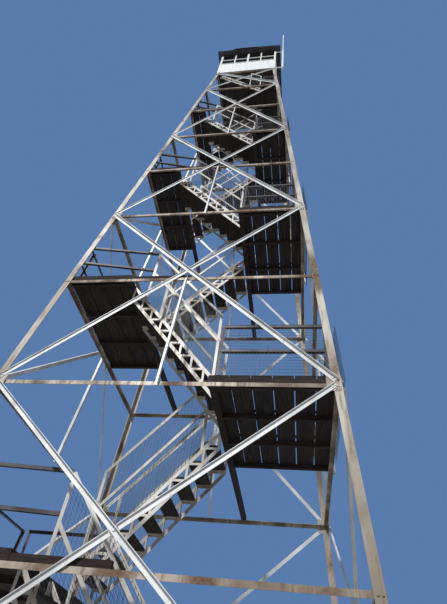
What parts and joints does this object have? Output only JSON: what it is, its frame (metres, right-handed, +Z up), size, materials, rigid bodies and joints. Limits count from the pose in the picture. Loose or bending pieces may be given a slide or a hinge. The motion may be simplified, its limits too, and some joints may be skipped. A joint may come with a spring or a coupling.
{
  "type": "fire lookout tower",
  "caption": "Tall tapering lookout tower of braced steel angles, with stairs zigzagging between timber landings up to a small square cab with open windows and a low dark roof.",
  "frame": {"origin": "ground level in the middle of the four footings", "axes": "+Z up along the height, the front face looks along -Y, +X to the right seen from the front"},
  "size_m": [5.6248, 5.6248, 23.83],
  "materials": {
    "leg_steel": "weathered galvanised steel with a rust tint",
    "girt_steel": "weathered galvanised steel with a rust tint",
    "brace_steel": "dull weathered galvanised steel",
    "stair_steel": "dull weathered galvanised steel",
    "rail_steel": "dull weathered galvanised steel",
    "concrete": "weathered concrete",
    "deck_timber": "dark weathered planks",
    "beam_timber": "dark weathered beams",
    "tread_timber": "dark weathered planks",
    "cab_floor_timber": "dark stained boards",
    "cab_paint": "white paint",
    "roof_sheet": "dark painted sheet",
    "antenna_white": "white coating"
  },
  "bodies": {
    "root": {"antenna_brackets": "antenna_white", "antenna_pole": "antenna_white", "back_braces_falling": "brace_steel", "back_braces_rising": "brace_steel", "back_girts": "girt_steel", "back_lane_handrails": "stair_steel", "back_lane_stringers": "stair_steel", "base_plates": "leg_steel", "cab_corner_posts": "cab_paint", "cab_floor": "cab_floor_timber", "cab_floor_beams": "beam_timber", "cab_head_frame": "beam_timber", "cab_mullions": "cab_paint", "cab_roof": "roof_sheet", "cab_wall_back": "cab_paint", "cab_wall_front": "cab_paint", "cab_wall_left": "cab_paint", "cab_wall_right": "cab_paint", "cab_window_bars": "cab_paint", "face_hangers": "brace_steel", "flight_1_treads": "tread_timber", "flight_2_treads": "tread_timber", "flight_3_treads": "tread_timber", "flight_4_treads": "tread_timber", "flight_5_treads": "tread_timber", "flight_6_treads": "tread_timber", "flight_7_treads": "tread_timber", "flight_8_treads": "tread_timber", "flight_9_treads": "tread_timber", "footings": "concrete", "front_braces_falling": "brace_steel", "front_braces_rising": "brace_steel", "front_girts": "girt_steel", "front_lane_handrails": "stair_steel", "front_lane_stringers": "stair_steel", "gusset_plates": "leg_steel", "landing_1_deck": "deck_timber", "landing_2_deck": "deck_timber", "landing_3_deck": "deck_timber", "landing_4_deck": "deck_timber", "landing_5_deck": "deck_timber", "landing_6_deck": "deck_timber", "landing_7_deck": "deck_timber", "landing_8_deck": "deck_timber", "left_braces_falling": "brace_steel", "left_braces_rising": "brace_steel", "left_girts": "girt_steel", "left_landing_bearers": "beam_timber", "left_landing_railings": "rail_steel", "leg_back_left": "leg_steel", "leg_back_right": "leg_steel", "leg_front_left": "leg_steel", "leg_front_right": "leg_steel", "right_braces_falling": "brace_steel", "right_braces_rising": "brace_steel", "right_girts": "girt_steel", "right_landing_bearers": "beam_timber", "right_landing_railings": "rail_steel"}
  },
  "joints": []
}
